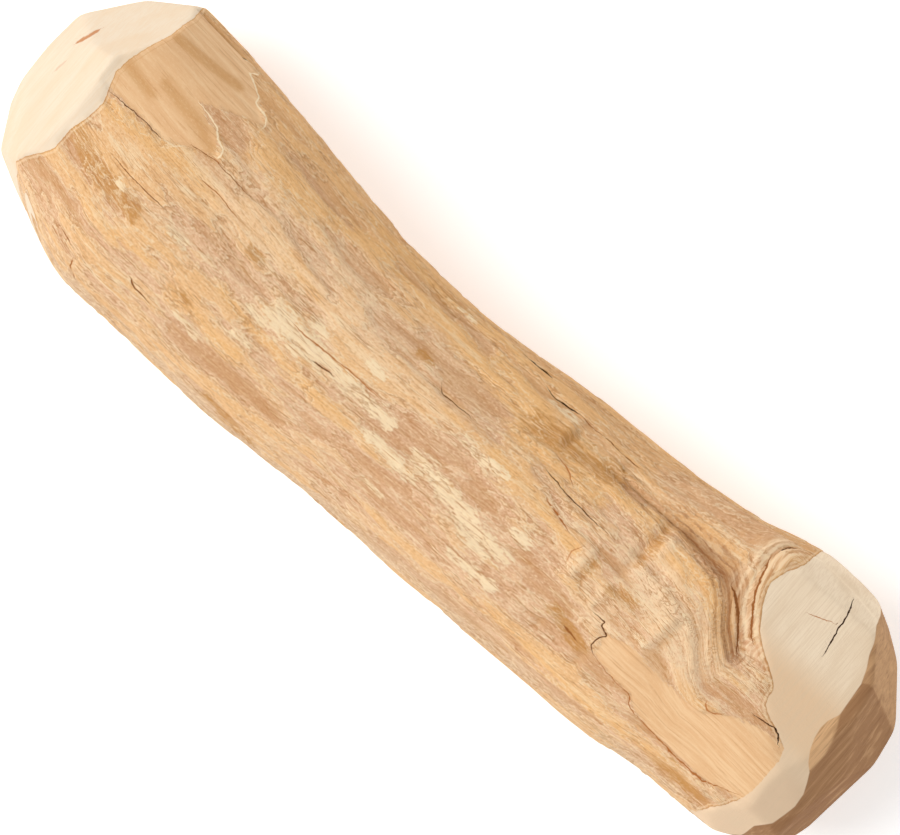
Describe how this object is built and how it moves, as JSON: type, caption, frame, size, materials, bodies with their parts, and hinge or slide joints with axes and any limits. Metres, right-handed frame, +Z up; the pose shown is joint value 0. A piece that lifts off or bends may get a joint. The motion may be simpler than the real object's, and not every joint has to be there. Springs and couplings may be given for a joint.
{
  "type": "coffee wood chew",
  "caption": "Short peeled branch log with a gentle bend, blunt sanded facets at both ends and a side-branch stub cut flush, used as a pet chew.",
  "frame": {"origin": "centre of the bounding box at the surface that the log lies on", "axes": "+X along the log from the plain sawn end to the end with the side-branch stub, +Z up, +Y to the side that bends in at the middle"},
  "size_m": [0.2107, 0.0582, 0.0529],
  "materials": {
    "bare_wood": "bare, dry, peeled coffee wood with long grain, ochre and brown stains and pale sanded facets, matt to faintly satin"
  },
  "bodies": {
    "root": {"coffee_wood_chew": "bare_wood"}
  },
  "joints": []
}
